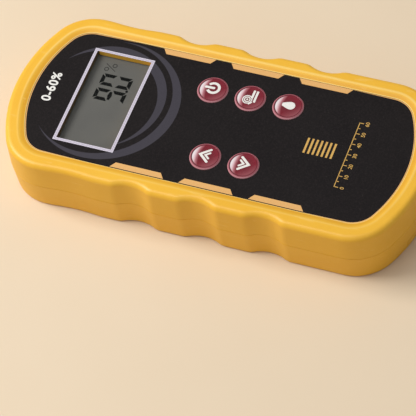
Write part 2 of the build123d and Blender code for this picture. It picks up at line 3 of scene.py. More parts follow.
import bmesh
import bpy
from mathutils import Matrix, Vector


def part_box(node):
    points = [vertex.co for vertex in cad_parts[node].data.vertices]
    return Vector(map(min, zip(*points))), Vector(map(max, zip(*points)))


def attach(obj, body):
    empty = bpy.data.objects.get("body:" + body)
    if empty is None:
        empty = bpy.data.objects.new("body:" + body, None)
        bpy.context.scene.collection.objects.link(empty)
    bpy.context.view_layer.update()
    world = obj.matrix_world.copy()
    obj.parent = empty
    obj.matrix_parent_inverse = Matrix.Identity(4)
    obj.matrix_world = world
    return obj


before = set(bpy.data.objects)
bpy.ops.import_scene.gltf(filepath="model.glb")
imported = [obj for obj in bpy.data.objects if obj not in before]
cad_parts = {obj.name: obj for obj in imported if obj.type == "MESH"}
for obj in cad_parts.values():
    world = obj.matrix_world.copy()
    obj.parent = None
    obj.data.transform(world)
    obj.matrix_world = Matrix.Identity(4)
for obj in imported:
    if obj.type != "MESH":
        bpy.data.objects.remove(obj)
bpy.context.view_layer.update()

# ------------------------------------------------------------------ sizes
# Millimetres unless a name says otherwise. The case lies on its back, head
# towards +Y, and the face looks up.

MM = 0.001


def corner(node, which):
    """Lowest (0) or highest (1) corner of a CAD node in millimetres."""
    return Vector(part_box(node)[which]) / MM


def middle(node):
    """Middle of a CAD node's box in millimetres."""
    return (corner(node, 0) + corner(node, 1)) / 2


sheet_top = corner("face_sheet", 1).z
sheet_half_width = corner("face_sheet", 1).x
display = middle("display_frame")
frame_half_width = corner("display_frame", 1).x
frame_half_height = corner("display_frame", 1).y - display.y
glass_top = corner("display_glass", 1).z
case_half_length = corner("front_case", 1).y
case_half_width = corner("front_case", 1).x
KEYS = ("power", "species", "hold", "up", "down")
key_middle = {name: middle(name + "_key") for name in KEYS}
key_top = corner("power_key", 1).z

# arcs of the case outline: a wide one at each end, a tight one at each corner
end_radius = 59.0
corner_radius = 18.0
end_centre_y = case_half_length - end_radius
corner_centre_x = case_half_width - corner_radius
corner_centre_y = end_centre_y + math.sqrt((end_radius - corner_radius) ** 2 - corner_centre_x**2)
corner_sweep = math.atan2(corner_centre_y - end_centre_y, corner_centre_x)

# opening of the case over the display, and the height of its wall's foot
opening_half_width = 21.6
opening_half_height = 11.1
opening_floor = 20.0

# ink stands this much proud of the surface it is printed on, and as deep in it
INK = 0.03
sheet_ink_top = sheet_top + INK
glass_ink_top = glass_top + INK

# ----------------------------------------------------------- shader writing


class Shade:
    """A socket of a finish; ordinary arithmetic on it adds the Math nodes."""

    def __init__(self, finish, socket):
        self.finish = finish
        self.socket = socket

    def maths(self, operation, *values, clamp=False):
        settings = {"operation": operation, "use_clamp": clamp}
        return self.finish.node("ShaderNodeMath", settings, dict(enumerate(values)))

    def __add__(self, other):
        return self.maths("ADD", self, other)

    __radd__ = __add__

    def __sub__(self, other):
        return self.maths("SUBTRACT", self, other)

    def __rsub__(self, other):
        return self.maths("SUBTRACT", other, self)

    def __mul__(self, other):
        return self.maths("MULTIPLY", self, other)

    __rmul__ = __mul__

    def __abs__(self):
        return self.maths("ABSOLUTE", self)

    def high(self, other):
        return self.maths("MAXIMUM", self, other)

    def root(self):
        return self.maths("SQRT", self)

    def wave(self, pitch):
        """Sine of the value, one full wave in each pitch."""
        return (self * (2 * math.pi / pitch)).sine()

    def sine(self):
        return self.maths("SINE", self)

    def within(self, edge, blur):
        """1 where the value is under the edge, 0 over it, with a soft step."""
        return self.maths("MULTIPLY_ADD", self, -1.0 / blur, edge / blur + 0.5, clamp=True)

    def beyond(self, edge, blur):
        """1 where the value is over the edge, 0 under it, with a soft step."""
        return self.maths("MULTIPLY_ADD", self, 1.0 / blur, 0.5 - edge / blur, clamp=True)


class Finish:
    """A material on one Principled shader, patterned in object millimetres."""

    def __init__(self, name, **constants):
        self.material = bpy.data.materials.new(name)
        self.material.use_nodes = True
        self.tree = self.material.node_tree
        self.shader = self.tree.nodes["Principled BSDF"]
        for socket, value in constants.items():
            title = socket.replace("_", " ").title().replace("Ior", "IOR")
            self.shader.inputs[title].default_value = value
        place = self.node("ShaderNodeTexCoord", output="Object")
        scale = {"operation": "SCALE"}
        self.place = self.node("ShaderNodeVectorMath", scale, {0: place, "Scale": 1.0 / MM})

    def node(self, kind, settings=None, inputs=None, output=0):
        """Any node: its settings first, then the values or links of its sockets."""
        made = self.tree.nodes.new(kind)
        for name, value in (settings or {}).items():
            if name == "stops":
                while len(made.color_ramp.elements) < len(value):
                    made.color_ramp.elements.new(1.0)
                for element, (position, colour) in zip(made.color_ramp.elements, value):
                    element.position = position
                    element.color = colour
            else:
                setattr(made, name, value)
        for name, value in (inputs or {}).items():
            self.feed(made.inputs[name], value)
        return Shade(self, made.outputs[output])

    def feed(self, socket, value):
        """Link a Shade to a socket, or set the socket to a plain value."""
        if isinstance(value, Shade):
            self.tree.links.new(value.socket, socket)
        else:
            socket.default_value = value

    def axes(self, origin=(0, 0, 0)):
        """X, Y and Z in millimetres from an origin."""
        settings = {"operation": "SUBTRACT"}
        moved = self.node("ShaderNodeVectorMath", settings, {0: self.place, 1: origin})
        return tuple(self.node("ShaderNodeSeparateXYZ", {}, {0: moved}, n) for n in range(3))

    def noise(self, size, detail=2.0, roughness=0.5, stretch=None, seed=0.0):
        """Cloudy pattern whose features are about size millimetres across."""
        place = self.place
        if stretch:
            place = self.node("ShaderNodeMapping", {}, {"Vector": place, "Scale": stretch})
        sockets = {"Vector": place, "Scale": 1.0 / size, "Detail": detail, "Roughness": roughness}
        if seed:
            sockets["W"] = seed
        settings = {"noise_dimensions": "4D"} if seed else {}
        return self.node("ShaderNodeTexNoise", settings, sockets)

    def cells(self, size):
        """Distance from the middle of cells about size millimetres across."""
        sockets = {"Vector": self.place, "Scale": 1.0 / size}
        return self.node("ShaderNodeTexVoronoi", {"feature": "F1"}, sockets, "Distance")

    def mix(self, share, first, second):
        """First colour at a share of 0, second at 1."""
        settings = {"data_type": "RGBA"}
        return self.node("ShaderNodeMix", settings, {0: share, 6: first, 7: second}, 2)

    def bump(self, height, depth, strength=1.0, under=None):
        """Normal from a height pattern; depth is its relief in millimetres."""
        sockets = {"Strength": strength, "Distance": depth * MM, "Height": height}
        if under:
            sockets["Normal"] = under
        return self.node("ShaderNodeBump", {}, sockets)

    def paint(self, colour, roughness, normal=None, metallic=None, coat=None):
        """Feed the shader's varying sockets and give back the material."""
        for socket, value in (
            ("Base Color", colour),
            ("Roughness", roughness),
            ("Normal", normal),
            ("Metallic", metallic),
            ("Coat Weight", coat),
        ):
            if value is not None:
                self.feed(self.shader.inputs[socket], value)
        return self.material


def tone(red, green, blue):
    """Linear colour from display values of 0 to 255."""
    return tuple(
        (c / 255 / 12.92) if c / 255 <= 0.04045 else ((c / 255 + 0.055) / 1.055) ** 2.4
        for c in (red, green, blue)
    ) + (1.0,)


# ----------------------------------------------------------- outer finishes


def case_inset(x, y):
    """How far in from the outline of the case, in millimetres."""
    wide, far = abs(x), abs(y)
    across = (wide - corner_centre_x).high(0.0)
    along = (far - corner_centre_y).high(0.0)
    from_corner = corner_radius - (across * across + along * along).root()
    reach = far - end_centre_y
    from_end = end_radius - (x * x + reach * reach).root()
    at_end = (reach * corner_centre_x - wide * (corner_centre_y - end_centre_y)).beyond(0.0, 0.5)
    return from_corner + (from_end - from_corner) * at_end


def moulded_case(name):
    """Amber ABS with a fine spark-eroded texture, rubbed smooth on the crest; painted highlights on
    the crest and lip, painted shade on the inner slope and on the display opening's head-side wall.
    """
    # how far in from the outline the rim's crest (painted highlight), inner slope (painted shade)
    # and lip (painted highlight) lie
    crest_inset = 5.1
    slope_start, slope_end = 6.2, 7.4
    lip_start, lip_end = 7.5, 8.4
    # least heights of each, and the height up to which shade is painted on the opening's head-side
    # wall
    lip_foot, slope_foot, crest_foot = 23.0, 24.2, 24.7
    painted_shade_top = 23.95
    finish = Finish(name, ior=1.5, specular_ior_level=0.5)
    x, y, z = finish.axes()
    grain = finish.noise(0.22, detail=3.0, roughness=0.65)
    flow = finish.noise(38.0, detail=2.0, seed=3.1)
    mottle = finish.noise(2.2, detail=3.0)
    rubbed = z.beyond(23.6, 1.6) * finish.noise(9.0, detail=3.0).beyond(0.45, 0.4)
    grime = z.within(1.0, 2.4) * finish.noise(16.0, detail=5.0).beyond(0.52, 0.5)
    colour = finish.mix(flow.beyond(0.5, 0.6), tone(236, 177, 40), tone(241, 186, 52))
    colour = finish.mix(mottle * 0.10, colour, tone(214, 140, 18))
    colour = finish.mix(rubbed * 0.22, colour, tone(251, 200, 78))
    colour = finish.mix(grime * 0.14, colour, tone(132, 92, 36))
    inset = case_inset(x, y)
    # painted shade: the rim's inner slope is darker, as if turned away from the light
    slope_shade = inset.beyond(slope_start, 0.9) * inset.within(slope_end, 0.3)
    slope_shade = slope_shade * z.beyond(slope_foot, 0.2)
    # painted highlight along the rim's crest, which is also made less rough
    crest_highlight_and_polish = abs(inset - crest_inset).within(0.4, 0.6) * z.beyond(crest_foot, 0.2)
    # painted highlight on the lip and the recess wall beside the face sheet
    lip_highlight = inset.beyond(lip_start, 0.12) * inset.within(lip_end, 0.1) * z.beyond(lip_foot, 0.2)
    colour = finish.mix(slope_shade * 0.42, colour, tone(214, 144, 22))
    # the painted crest highlight is stronger towards the far (+X) side
    far_side = x.beyond(0.0, 50.0)
    colour = finish.mix(crest_highlight_and_polish * (0.2 + far_side * 0.3), colour, tone(255, 226, 140))
    colour = finish.mix(lip_highlight * 0.7, colour, tone(255, 226, 150))
    # painted shade on the head-side wall of the display opening
    head_wall = abs(y - (display.y + opening_half_height)).within(0.6, 0.1)
    head_wall = head_wall * abs(x).within(opening_half_width, 0.1)
    painted_wall_shade = head_wall * z.beyond(opening_floor, 0.5) * z.within(painted_shade_top, 0.2)
    colour = finish.mix(painted_wall_shade * 0.9, colour, tone(40, 32, 22))
    roughness = 0.38 + grain * 0.08 + mottle * 0.05 + grime * 0.15
    roughness = roughness - rubbed * 0.08 - crest_highlight_and_polish * 0.08
    scuff = finish.noise(1.4, detail=4.0, stretch=(1.0, 0.14, 2.2)).beyond(0.66, 0.05) * mottle
    colour = finish.mix(scuff * 0.35, colour, tone(252, 214, 128))
    normal = finish.bump(grain + scuff, 0.012, 0.55)
    normal = finish.bump(finish.noise(14.0), 0.05, 0.3, under=normal)
    return finish.paint(colour, roughness, normal)


def printed_face(name):
    """Black film with a fine grain and two grey crescents round the display."""
    finish = Finish(name, ior=1.5, specular_ior_level=0.16)
    x, y, z = finish.axes((0, display.y, 0))
    blur = 0.12

    def reach(centre_x, centre_y):
        """Distance from a point of the face, in millimetres."""
        across, along = x - centre_x, y - centre_y
        return (across * across + along * along).root()

    def crescent(outer, outer_radius, inner, inner_radius):
        """What lies in the outer circle and outside the inner one."""
        return reach(*outer).within(outer_radius, blur) * reach(*inner).beyond(inner_radius, blur)

    outer_ink = crescent((0.3, -1.4), 27.8, (1.22, 1.14), 26.6)
    inner_ink = crescent((1.6, 0.7), 23.8, (-0.47, 3.0), 23.2)
    speckle = finish.noise(0.6, detail=3.0, roughness=0.7)
    weave = finish.cells(0.16)
    cloud = finish.noise(26.0, detail=3.0)
    base = finish.mix(cloud.beyond(0.5, 0.5), tone(20, 16, 17), tone(25, 21, 21))
    base = finish.mix(speckle.beyond(0.58, 0.25) * 0.4, base, tone(50, 43, 43))
    ink = finish.mix(speckle * 0.6, tone(60, 57, 64), tone(73, 70, 79))
    colour = finish.mix(outer_ink.high(inner_ink), base, ink)
    dust = finish.noise(0.9, detail=1.0, seed=5.0).beyond(0.76, 0.05)
    colour = finish.mix(dust * 0.10, colour, tone(120, 115, 110))
    roughness = 0.36 + weave * 0.12 + cloud * 0.08 + dust * 0.2
    return finish.paint(colour, roughness, finish.bump(weave, 0.006, 0.5))


def printed_ink(name, light, dark, roughness=0.38, size=0.4):
    """Opaque screen-printed ink with a faint mesh and uneven cover."""
    finish = Finish(name, ior=1.48, specular_ior_level=0.4)
    mesh = finish.cells(0.18)
    cover = finish.noise(size, detail=3.0, roughness=0.6)
    colour = finish.mix(cover.beyond(0.5, 0.5), light, dark)
    return finish.paint(colour, roughness + mesh * 0.12, finish.bump(mesh + cover, 0.004, 0.5))


def key_gloss(name, centre):
    """Burgundy key: pink rim ring, dark groove, pale crescent on the head side."""
    # radii of the gloss, the groove, the rim ring and its outer brink
    gloss_end, groove_start, groove_end, rim_start, brink_start = 4.85, 4.95, 5.25, 5.28, 5.62
    # how far below the crown the skirt starts
    skirt_top = -1.4
    finish = Finish(name, ior=1.5, specular_ior_level=0.5, coat_roughness=0.08)
    x, y, z = finish.axes(tuple(centre))
    radius = (x * x + y * y).root()
    streak = finish.noise(1.1, detail=3.0, roughness=0.6)
    depth = y.beyond(0.0, 9.0)
    body = finish.mix(depth, tone(126, 18, 38), tone(112, 10, 28))
    bloom = (x + y).within(-4.6, 4.0)
    body = finish.mix(bloom * 0.6, body, tone(156, 92, 98))
    body = finish.mix(radius.within(3.2, 2.6) * 0.45, body, tone(92, 28, 36))
    body = finish.mix(streak.beyond(0.5, 0.4) * 0.14, body, tone(150, 50, 64))
    arc = (y + x * x * 0.035).beyond(2.9, 1.5)
    gloss = arc * radius.within(gloss_end, 0.25)
    whiteness = (y + x * x * 0.02).beyond(3.7, 1.6)
    shine = finish.mix(whiteness, tone(206, 138, 146), tone(240, 234, 236))
    colour = finish.mix(gloss * 0.93, body, shine)
    groove = radius.beyond(groove_start, 0.12) * radius.within(groove_end, 0.12)
    groove_strength = 0.35 + y.beyond(0.0, 6.0) * 0.6
    colour = finish.mix(groove * groove_strength, colour, tone(84, 18, 30))
    rim = radius.beyond(rim_start, 0.14)
    lit = finish.mix(y.beyond(0.0, 9.0), tone(150, 66, 78), tone(182, 104, 114))
    colour = finish.mix(rim * 0.85, colour, lit)
    brink = radius.beyond(brink_start, 0.12)
    colour = finish.mix(brink * 0.7, colour, tone(206, 148, 154))
    skirt = z.within(skirt_top, 0.3)
    colour = finish.mix(skirt, colour, tone(92, 20, 34))
    roughness = 0.22 + streak * 0.10 + skirt * 0.25
    normal = finish.bump(finish.noise(0.8, detail=2.0), 0.01, 0.25)
    return finish.paint(colour, roughness, normal, coat=0.35 + streak * 0.2)


def frame_print(name):
    """Silvery lilac border printed round the window, hatched, with a centre line."""
    hatch_pitch, hatch_lean = 0.85, 0.8
    border_middle = 0.6
    finish = Finish(name, ior=1.5, specular_ior_level=0.5)
    fleck = finish.noise(0.12, detail=2.0, roughness=0.8)
    cloud = finish.noise(6.0)
    colour = finish.mix(fleck.beyond(0.55, 0.3), tone(232, 224, 238), tone(244, 238, 248))
    colour = finish.mix(cloud * 0.25, colour, tone(208, 199, 216))
    x, y, z = finish.axes()
    hatch = (x + y * hatch_lean).wave(hatch_pitch) * 0.5 + 0.5
    colour = finish.mix(hatch * 0.5, colour, tone(140, 130, 152))
    along = abs(y - display.y) - frame_half_height
    across = abs(x) - frame_half_width
    centre_line = abs(along.high(across) + border_middle).within(0.13, 0.1)
    colour = finish.mix(centre_line * 0.35, colour, tone(120, 108, 130))
    normal = finish.bump(fleck, 0.003, 0.5)
    return finish.paint(colour, 0.30 + fleck * 0.15, normal, metallic=0.12 + fleck * 0.08)


def clear_window(name):
    """Thin clear film: hardly tinted, with faint smears that catch the light."""
    finish = Finish(name, ior=1.45, specular_ior_level=0.22)
    smear = finish.noise(9.0, detail=4.0, stretch=(1.0, 2.4, 1.0))
    scratch = finish.noise(0.5, detail=2.0, stretch=(0.05, 1.0, 1.0)).beyond(0.72, 0.04)
    cover = 0.025 + smear * 0.015 + scratch * 0.03
    finish.feed(finish.shader.inputs["Alpha"], cover)
    finish.material.surface_render_method = "BLENDED"
    colour = finish.mix(smear, tone(66, 70, 66), tone(92, 94, 90))
    return finish.paint(colour, 0.04 + smear * 0.06, finish.bump(smear, 0.01, 0.3))


def display_cell(name):
    """Grey-green liquid-crystal cell, a little uneven, with painted shade near the walls of the
    case opening.
    """
    finish = Finish(name, ior=1.52, specular_ior_level=0.35)
    x, y, z = finish.axes((0, display.y, 0))
    cloud = finish.noise(11.0, detail=3.0)
    fine = finish.noise(0.25, detail=2.0, roughness=0.7)
    colour = finish.mix(cloud.beyond(0.5, 0.6), tone(93, 92, 89), tone(103, 102, 97))
    colour = finish.mix(fine * 0.12, colour, tone(82, 82, 77))
    # painted shade near the walls of the case opening, starting just inside them
    wall_shade_x = abs(x).beyond(opening_half_width - 0.2, 1.2)
    wall_shade_y = abs(y).beyond(opening_half_height - 0.2, 1.2)
    colour = finish.mix(wall_shade_x.high(wall_shade_y) * 0.5, colour, tone(86, 88, 78))
    edge = z.within(glass_top - 0.15, 0.05)
    colour = finish.mix(edge, colour, tone(120, 136, 128))
    return finish.paint(colour, 0.42 + fine * 0.1, finish.bump(fine, 0.003, 0.4))


def blend(share, first, second):
    """Plain number mix of two colours."""
    return tuple(a * (1 - share) + b * share for a, b in zip(first, second))


def lcd_ink(name, strength):
    """Liquid crystal switched dark, seen through the cell's front glass."""
    finish = Finish(name, ior=1.5, specular_ior_level=0.08)
    fine = finish.noise(0.3, detail=2.0)
    cloud = finish.noise(3.0)
    dark = blend(strength, tone(93, 92, 89), tone(3, 4, 5))
    light = blend(strength, tone(101, 100, 95), tone(8, 9, 9))
    colour = finish.mix(fine * 0.5 + cloud * 0.3, dark, light)
    return finish.paint(colour, 0.4 + fine * 0.1, finish.bump(fine, 0.002, 0.3))


# ----------------------------------------------------------- inner finishes


def plain_moulding(name, light, dark, roughness=0.45, grain_size=0.25, relief=0.008):
    """Moulded plastic: fine grain, slight flow marks and a change of shade."""
    finish = Finish(name, ior=1.5, specular_ior_level=0.4)
    grain = finish.noise(grain_size, detail=3.0, roughness=0.6)
    flow = finish.noise(9.0, detail=3.0, stretch=(1.0, 0.3, 1.0))
    colour = finish.mix(flow.beyond(0.5, 0.6), light, dark)
    colour = finish.mix(grain * 0.2, colour, dark)
    return finish.paint(colour, roughness + grain * 0.12, finish.bump(grain, relief, 0.5))


def foam(name, light, dark):
    """Closed-cell foam: open pores in a matt skin."""
    finish = Finish(name, specular_ior_level=0.2)
    pores = finish.cells(0.45)
    mottle = finish.noise(2.5, detail=3.0)
    colour = finish.mix(pores.beyond(0.35, 0.4), dark, light)
    colour = finish.mix(mottle * 0.3, colour, dark)
    return finish.paint(colour, 0.82 + mottle * 0.12, finish.bump(pores, 0.10, 0.8))


def metal(name, light, dark, roughness=0.28, stretch=(1.0, 12.0, 12.0), relief=0.004):
    """Plated or turned metal: drawn lines, dull patches, bright rubbed spots."""
    finish = Finish(name, ior=2.0)
    lines = finish.noise(0.5, detail=3.0, roughness=0.6, stretch=stretch)
    patch = finish.noise(3.5, detail=3.0)
    colour = finish.mix(lines.beyond(0.5, 0.5), light, dark)
    colour = finish.mix(patch.beyond(0.58, 0.3) * 0.35, colour, dark)
    roughness = roughness + lines * 0.14 + patch.beyond(0.5, 0.5) * 0.12
    normal = finish.bump(lines, relief, 0.6)
    return finish.paint(colour, roughness, normal, metallic=0.92 + patch * 0.08)


def circuit_board(name):
    """Green solder mask over copper tracks, with plated pads between them."""
    mask_low, mask_high = 15.28, 16.72
    finish = Finish(name, ior=1.5, specular_ior_level=0.5, coat_roughness=0.15)
    x, y, z = finish.axes()
    sockets = {
        "Vector": finish.place,
        "Scale": 0.28,
        "Mortar Size": 0.035,
        "Mortar Smooth": 0.2,
        "Brick Width": 2.4,
    }
    runs = finish.node("ShaderNodeTexBrick", {"offset": 0.5, "squash": 1.0}, sockets, "Fac")
    lanes = finish.noise(5.0, detail=2.0, roughness=0.3).beyond(0.5, 0.05)
    track = runs * lanes
    via = finish.cells(3.1).within(0.10, 0.03)
    laminate = finish.noise(1.2, detail=3.0)
    colour = finish.mix(laminate, tone(12, 84, 44), tone(20, 98, 54))
    colour = finish.mix(track * 0.6, colour, tone(58, 132, 70))
    colour = finish.mix(via, colour, tone(196, 176, 120))
    masked = z.beyond(mask_high, 0.03).high(z.within(mask_low, 0.03))
    colour = finish.mix(1.0 - masked, colour, tone(150, 140, 84))
    return finish.paint(
        colour,
        0.34 + laminate * 0.12,
        finish.bump(track + via * 2.0, 0.03, 0.6),
        metallic=via * 0.7,
        coat=0.3 + track * 0.1,
    )


def cell_wrap(name, centre, positive_end):
    """Shrink-wrapped steel can: dark sleeve, a gold band and stripe, bare ends."""
    band_start, band_end = 9.0, 20.6
    stripe_start, stripe_end = 6.6, 7.6
    bare_radius, button_start, end_face = 4.6, 21.5, 20.9
    finish = Finish(name, ior=1.5, specular_ior_level=0.5, coat_roughness=0.1)
    x, y, z = finish.axes(tuple(centre))
    radius = (x * x + z * z).root()
    along = y * positive_end
    scuff = finish.noise(2.0, detail=4.0)
    lines = finish.noise(0.4, detail=2.0, stretch=(12.0, 1.0, 12.0))
    band = along.beyond(band_start, 0.15) * along.within(band_end, 0.15)
    stripe = along.beyond(stripe_start, 0.1) * along.within(stripe_end, 0.1)
    colour = finish.mix(scuff * 0.4, tone(38, 44, 54), tone(58, 64, 74))
    colour = finish.mix(band.high(stripe), colour, tone(206, 176, 96))
    bare = radius.within(bare_radius, 0.1).high(along.beyond(button_start, 0.1))
    bare = bare * abs(along).beyond(end_face, 0.1)
    colour = finish.mix(bare, colour, tone(196, 196, 200))
    return finish.paint(
        colour,
        0.26 + scuff * 0.2 + lines * 0.08,
        finish.bump(scuff, 0.02, 0.3),
        metallic=bare * 0.95,
        coat=0.25 - bare * 0.25,
    )


def winding(name):
    """Lacquered copper wire laid turn on turn."""
    wire_pitch = 0.3
    finish = Finish(name, ior=1.6)
    x, y, z = finish.axes()
    turns = z.wave(wire_pitch)
    patch = finish.noise(1.5, detail=2.0)
    colour = finish.mix(turns * 0.5 + 0.5, tone(120, 52, 22), tone(206, 112, 62))
    colour = finish.mix(patch * 0.3, colour, tone(168, 78, 36))
    normal = finish.bump(turns, 0.06, 0.8)
    return finish.paint(colour, 0.3 + patch * 0.1, normal, metallic=0.85 + patch * 0.1)


def layered_strip(name):
    """Elastomer strip: thin dark conducting layers between pink insulating ones."""
    layer_pitch = 0.36
    finish = Finish(name, specular_ior_level=0.3)
    x, y, z = finish.axes()
    layers = x.wave(layer_pitch)
    mottle = finish.noise(0.8, detail=2.0)
    colour = finish.mix(layers.beyond(0.0, 0.5), tone(196, 132, 122), tone(40, 34, 34))
    return finish.paint(colour, 0.62 + mottle * 0.15, finish.bump(mottle, 0.02, 0.4))


# -------------------------------------------------------- finishing the CAD

# noise stretch that draws a metal's lines out along Z
DRAWN_UP = (12.0, 12.0, 1.0)

amber = moulded_case("amber_case_plastic")
bright_steel = metal("zinc_plated_steel", tone(196, 196, 200), tone(150, 150, 156), 0.30)
nickel = metal("nickel_spring_strip", tone(214, 210, 204), tone(176, 172, 166), 0.22)
can = metal("drawn_can", tone(206, 206, 208), tone(164, 164, 168), 0.26, DRAWN_UP)
white_moulding = plain_moulding("white_holder_moulding", tone(226, 226, 220), tone(208, 208, 202))
ferrite = plain_moulding("ferrite_core", tone(74, 74, 78), tone(54, 54, 58), 0.55, 0.12, 0.02)
resistor = plain_moulding("resistor_film", tone(34, 34, 38), tone(60, 58, 58), 0.35, 0.6)
ceramic = plain_moulding("ceramic_body", tone(176, 142, 96), tone(150, 116, 76), 0.5, 0.3)
black_base = plain_moulding("sensor_moulding", tone(44, 44, 46), tone(34, 34, 36), 0.42, 0.3, 0.012)
copper = metal("copper_electrode", tone(214, 132, 88), tone(180, 98, 60), 0.32)
brass = metal("plated_brass_pin", tone(226, 190, 110), tone(190, 150, 80), 0.2, DRAWN_UP)
chip_resin = plain_moulding("chip_resin", tone(44, 44, 48), tone(30, 30, 33), 0.5, 0.15)
film_black = foam("black_foam", tone(48, 48, 48), tone(18, 18, 18))
strip_rubber = layered_strip("contact_strip_rubber")

COATS = {
    "front_case": amber,
    "rear_case": amber,
    "battery_door": amber,
    "face_sheet": printed_face("printed_face_film"),
    "display_window": clear_window("clear_window_film"),
    "display_frame": frame_print("lilac_border_print"),
    "display_gasket": film_black,
    "battery_foam": film_black,
    "display_glass": display_cell("display_cell_glass"),
    "display_reflector": metal("reflector_foil", tone(222, 222, 216), tone(196, 196, 190), 0.42),
    "display_holder": white_moulding,
    "contact_strip_upper": strip_rubber,
    "contact_strip_lower": strip_rubber,
    "main_board": circuit_board("solder_masked_board"),
    "microcontroller": chip_resin,
    "voltage_regulator": chip_resin,
    "buzzer": plain_moulding("buzzer_moulding", tone(38, 38, 40), tone(26, 26, 28), 0.38, 0.3),
    "crystal": can,
    "filter_capacitor": can,
    "trimmer": plain_moulding("trimmer_moulding", tone(42, 84, 176), tone(30, 66, 150), 0.4),
    "sensor_coil": ferrite,
    "coil_winding": winding("copper_winding"),
    "chip_resistors": resistor,
    "chip_capacitors": ceramic,
    "sensor_plate": black_base,
    "sensor_electrode": copper,
    "contact_pin": brass,
    "battery_contact_positive": nickel,
    "battery_contact_negative": nickel,
    "battery_bridge_head": nickel,
    "battery_bridge_tail_left": nickel,
    "battery_bridge_tail_right": nickel,
    "case_screws": bright_steel,
    "board_screws": bright_steel,
}
switch_moulding = plain_moulding("switch_moulding", tone(42, 42, 44), tone(28, 28, 30), 0.48)
plunger_moulding = plain_moulding("plunger_moulding", tone(150, 150, 152), tone(128, 128, 130), 0.5)
for key in KEYS:
    COATS[key + "_switch"] = switch_moulding
    COATS[key + "_plunger"] = plunger_moulding
    crown = Vector((key_middle[key].x, key_middle[key].y, key_top))
    COATS[key + "_key"] = key_gloss(key + "_key_gloss", crown)
for number in range(1, 5):
    node = f"battery_cell_{number}"
    COATS[node] = cell_wrap(f"cell_sleeve_{number}", middle(node), 1 if number % 2 else -1)


def coat(piece, material):
    piece.data.materials.clear()
    piece.data.materials.append(material)


for node, material in COATS.items():
    coat(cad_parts[node], material)

# ------------------------------------------------------------ modelling kit


def clear_selection():
    if bpy.context.mode != "OBJECT":
        bpy.ops.object.mode_set(mode="OBJECT")
    bpy.ops.object.select_all(action="DESELECT")


def activate(pieces):
    """Select only these pieces; the first of them is the active one."""
    clear_selection()
    for piece in pieces:
        piece.select_set(True)
    bpy.context.view_layer.objects.active = pieces[0]


def reopen(piece):
    """Open a piece for editing, all selected."""
    activate([piece])
    bpy.ops.object.mode_set(mode="EDIT")
    bpy.ops.mesh.select_all(action="SELECT")


def begin(name):
    """Name the primitive just added and open it for editing, all selected."""
    piece = bpy.context.object
    piece.name = name
    piece.data.name = name
    bpy.ops.object.transform_apply(location=True, rotation=True, scale=True)
    bpy.ops.object.mode_set(mode="EDIT")
    bpy.ops.mesh.select_all(action="SELECT")
    return piece


def pick(piece, test, kind="verts"):
    """Select only the parts whose middle, in millimetres, passes the test."""
    bpy.ops.mesh.select_all(action="DESELECT")
    mesh = bmesh.from_edit_mesh(piece.data)
    bpy.context.tool_settings.mesh_select_mode = (kind == "verts", kind == "edges", kind == "faces")
    for part in getattr(mesh, kind):
        points = [part.co] if kind == "verts" else [v.co for v in part.verts]
        centre = sum(points, Vector()) / len(points) / MM
        if test(centre):
            part.select_set(True)
    mesh.select_flush_mode()
    bmesh.update_edit_mesh(piece.data)


def done():
    """Close the piece that is being edited and give it back."""
    bpy.ops.object.mode_set(mode="OBJECT")
    return bpy.context.object


def face_outwards():
    """Turn every face of the piece being edited outwards."""
    bpy.ops.mesh.select_all(action="SELECT")
    bpy.ops.mesh.normals_make_consistent(inside=False)


def thicken_ink():
    """Turn the flat face being edited into a layer of ink below it."""
    bpy.ops.mesh.select_all(action="SELECT")
    bpy.ops.mesh.extrude_region_move(TRANSFORM_OT_translate={"value": (0, 0, -2 * INK * MM)})
    face_outwards()


def apply_all(piece):
    """Apply every modifier on a piece, in order."""
    activate([piece])
    for modifier in list(piece.modifiers):
        bpy.ops.object.modifier_apply(modifier=modifier.name)


def join(name, pieces):
    """Join pieces into one with the given name."""
    activate(pieces)
    if len(pieces) > 1:
        bpy.ops.object.join()
    joined = bpy.context.object
    joined.name = name
    joined.data.name = name
    return joined


def copy_of(piece, shift=(0, 0, 0), turn=0.0, about=(0, 0)):
    """A copy with its own mesh, turned about a point in degrees, then shifted."""
    made = piece.copy()
    made.data = piece.data.copy()
    bpy.context.scene.collection.objects.link(made)
    pivot = Matrix.Translation(Vector((about[0], about[1], 0)) * MM)
    turned = pivot @ Matrix.Rotation(math.radians(turn), 4, "Z") @ pivot.inverted()
    made.data.transform(Matrix.Translation(Vector(shift) * MM) @ turned)
    return made


def printed_bar(x, y, z, width, length, lean=0.0):
    """A flat bar of ink whose side towards +X is shorter by the lean at each end."""
    clear_selection()
    bpy.ops.mesh.primitive_plane_add(size=MM, location=(x * MM, y * MM, z * MM))
    bpy.context.object.scale = (width, length, 1)
    piece = begin("bar")
    if lean:
        pick(piece, lambda p: p.x > x and p.y < y)
        bpy.ops.transform.translate(value=(0, lean * MM, 0))
        pick(piece, lambda p: p.x > x and p.y > y)
        bpy.ops.transform.translate(value=(0, -lean * MM, 0))
    thicken_ink()
    return done()


